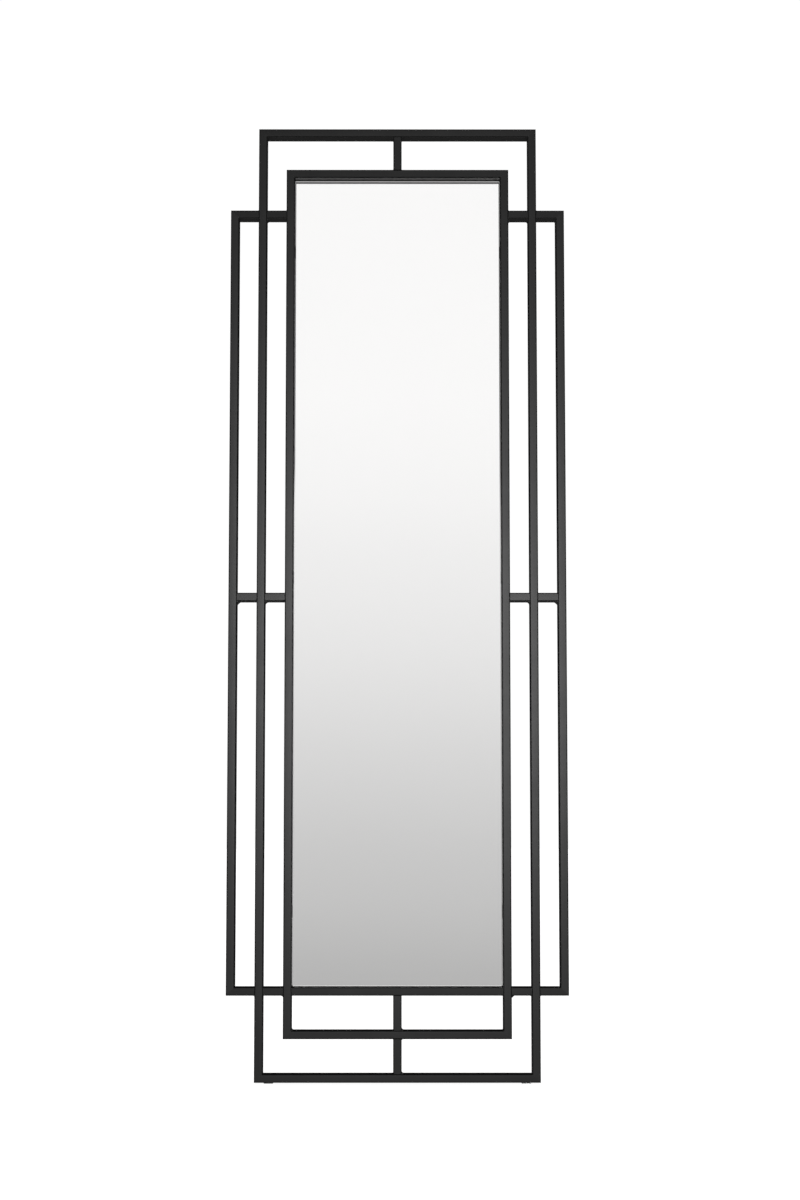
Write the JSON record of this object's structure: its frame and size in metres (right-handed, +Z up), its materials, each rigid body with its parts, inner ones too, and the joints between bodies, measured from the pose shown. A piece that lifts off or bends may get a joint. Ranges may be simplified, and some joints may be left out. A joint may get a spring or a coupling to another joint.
{
  "type": "leaning floor mirror",
  "caption": "Tall mirror set back in a welded black steel-tube frame of overlapping rectangles, made to stand on the floor and lean on a wall.",
  "frame": {"origin": "on the floor under the middle of the overall width and depth, with the mirror standing upright", "axes": "+Z up along the frame's height, pane faces -Y, wall side is +Y, +X to the right as seen from the front"},
  "size_m": [0.6, 0.0362, 1.7018],
  "materials": {
    "black_coat": "satin",
    "mirror_pane": "polished",
    "foam_tape": "matte",
    "fibreboard": "matte",
    "zinc_steel": "satin",
    "clear_rubber": "satin"
  },
  "bodies": {
    "root": {"tall_frame_left_upright": "black_coat", "tall_frame_right_upright": "black_coat", "tall_frame_top_rail": "black_coat", "tall_frame_bottom_rail": "black_coat", "wide_frame_left_upright": "black_coat", "wide_frame_right_upright": "black_coat", "wide_frame_top_rail_left_outer": "black_coat", "wide_frame_top_rail_left_inner": "black_coat", "wide_frame_top_rail_right_inner": "black_coat", "wide_frame_top_rail_right_outer": "black_coat", "wide_frame_bottom_rail_left_outer": "black_coat", "wide_frame_bottom_rail_left_inner": "black_coat", "wide_frame_bottom_rail_centre": "black_coat", "wide_frame_bottom_rail_right_inner": "black_coat", "wide_frame_bottom_rail_right_outer": "black_coat", "inner_frame_left_upright": "black_coat", "inner_frame_right_upright": "black_coat", "inner_frame_top_rail": "black_coat", "inner_frame_bottom_rail": "black_coat", "mid_strut_left_outer": "black_coat", "mid_strut_left_inner": "black_coat", "mid_strut_right_inner": "black_coat", "mid_strut_right_outer": "black_coat", "top_spacer": "black_coat", "lower_spacer_upper": "black_coat", "lower_spacer_lower": "black_coat", "mirror_glass": "mirror_pane", "foam_tape_left": "foam_tape", "foam_tape_centre": "foam_tape", "foam_tape_right": "foam_tape", "backing_board": "fibreboard", "tab_left_lower": "black_coat", "tab_left_middle": "black_coat", "tab_left_upper": "black_coat", "tab_right_lower": "black_coat", "tab_right_middle": "black_coat", "tab_right_upper": "black_coat", "tab_top": "black_coat", "tab_bottom": "black_coat", "screw_left_lower": "zinc_steel", "screw_left_middle": "zinc_steel", "screw_left_upper": "zinc_steel", "screw_right_lower": "zinc_steel", "screw_right_middle": "zinc_steel", "screw_right_upper": "zinc_steel", "screw_top": "zinc_steel", "screw_bottom": "zinc_steel", "floor_foot_left": "clear_rubber", "floor_foot_right": "clear_rubber", "wall_bumper_left": "clear_rubber", "wall_bumper_right": "clear_rubber"}
  },
  "joints": []
}
